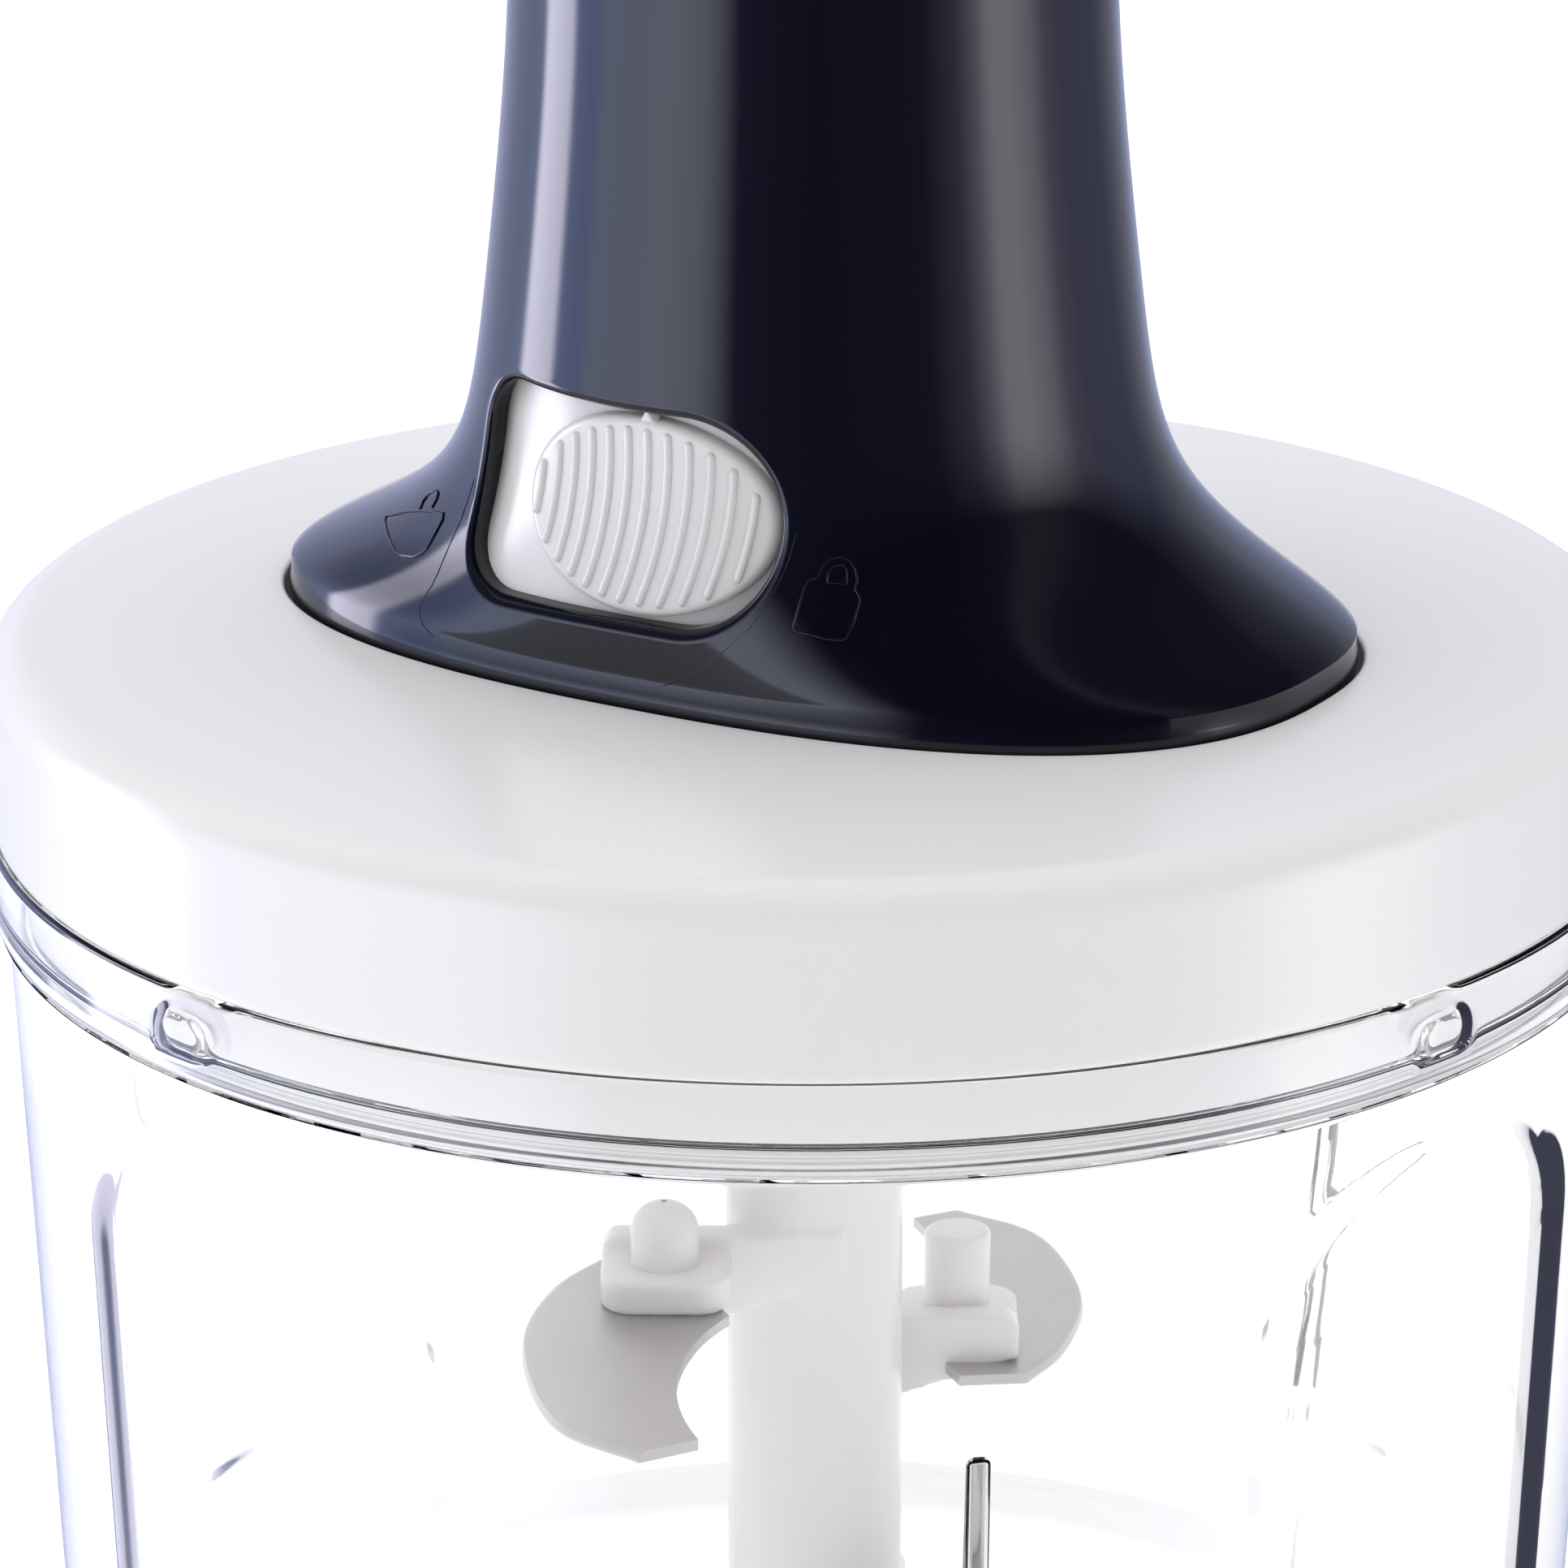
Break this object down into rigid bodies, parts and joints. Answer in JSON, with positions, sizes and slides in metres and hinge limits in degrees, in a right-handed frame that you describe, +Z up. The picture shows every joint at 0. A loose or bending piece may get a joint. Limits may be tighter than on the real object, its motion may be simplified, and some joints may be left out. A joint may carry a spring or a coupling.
{
  "type": "plunger food chopper",
  "caption": "Hand food chopper: clear bowl with a spinning blade set, white lid and a tall press-down handle with a slide lock.",
  "frame": {"origin": "centre of the underside of the base ring, on the surface the chopper stands on", "axes": "+Z up along the tool axis, -Y towards the lock switch, X along the handle foot's long side"},
  "size_m": [0.169, 0.169, 0.2565],
  "materials": {
    "clear_plastic": "clear polished",
    "white_plastic": "glossy",
    "navy_plastic": "high gloss",
    "bearing_plastic": "satin",
    "soft_grip": "matt",
    "soft_seal": "matt",
    "blade_steel": "fine brushed",
    "steel": "bright plated"
  },
  "bodies": {
    "bowl": {"bowl": "clear_plastic", "spindle_pin": "steel", "base_ring": "soft_grip"},
    "lid": {"lid_shell": "white_plastic", "lid_underplate": "white_plastic", "lid_seal": "soft_seal", "lid_screws": "steel", "guide_tower": "white_plastic", "tower_screws": "steel", "lower_thrust_washer": "bearing_plastic", "upper_thrust_washer": "bearing_plastic", "lower_spring_seat": "steel", "return_spring": "steel"},
    "hub": {"drive_hub": "bearing_plastic"},
    "handle": {"handle_shell": "navy_plastic", "palm_cap": "navy_plastic", "foot_plate": "navy_plastic", "foot_screws": "steel", "drive_rod": "blade_steel", "rod_head": "bearing_plastic", "rod_pin": "steel", "rod_screws": "steel", "upper_spring_seat": "steel", "slider_keeper": "navy_plastic", "keeper_screws": "steel"},
    "lock": {"lock_slider": "white_plastic"},
    "blades": {"blade_shaft": "white_plastic", "shaft_bush": "bearing_plastic", "upper_blade_left": "blade_steel", "upper_blade_right": "blade_steel", "lower_blade_front": "blade_steel", "lower_blade_back": "blade_steel", "upper_blade_pegs": "white_plastic", "lower_blade_pegs": "white_plastic"}
  },
  "joints": [
    {"name": "lid_lift", "type": "slide", "parent": "bowl", "child": "lid", "axis": [0, 0, 1], "range_m": [0, 0.16]},
    {"name": "handle_slide", "type": "slide", "parent": "lid", "child": "handle", "axis": [0, 0, 1], "range_m": [0, 0.045], "deforming": ["return_spring"]},
    {"name": "hub_spin", "type": "hinge", "parent": "lid", "child": "hub", "pos_m": [0, 0, 0.124], "axis": [0, 0, 1], "range_deg": [-540.5, 0]},
    {"name": "blade_spin", "type": "hinge", "parent": "bowl", "child": "blades", "pos_m": [0, 0, 0.024], "axis": [0, 0, 1], "range_deg": [-540.5, 0]},
    {"name": "lock_turn", "type": "hinge", "parent": "handle", "child": "lock", "pos_m": [0, 0, 0.1611], "axis": [0, 0, 1], "range_deg": [-8, 0]}
  ],
  "couplings": [
    {"joint": "hub_spin", "follows": "handle_slide", "rad_per_m": -209.44},
    {"joint": "blade_spin", "follows": "handle_slide", "rad_per_m": -209.44}
  ]
}
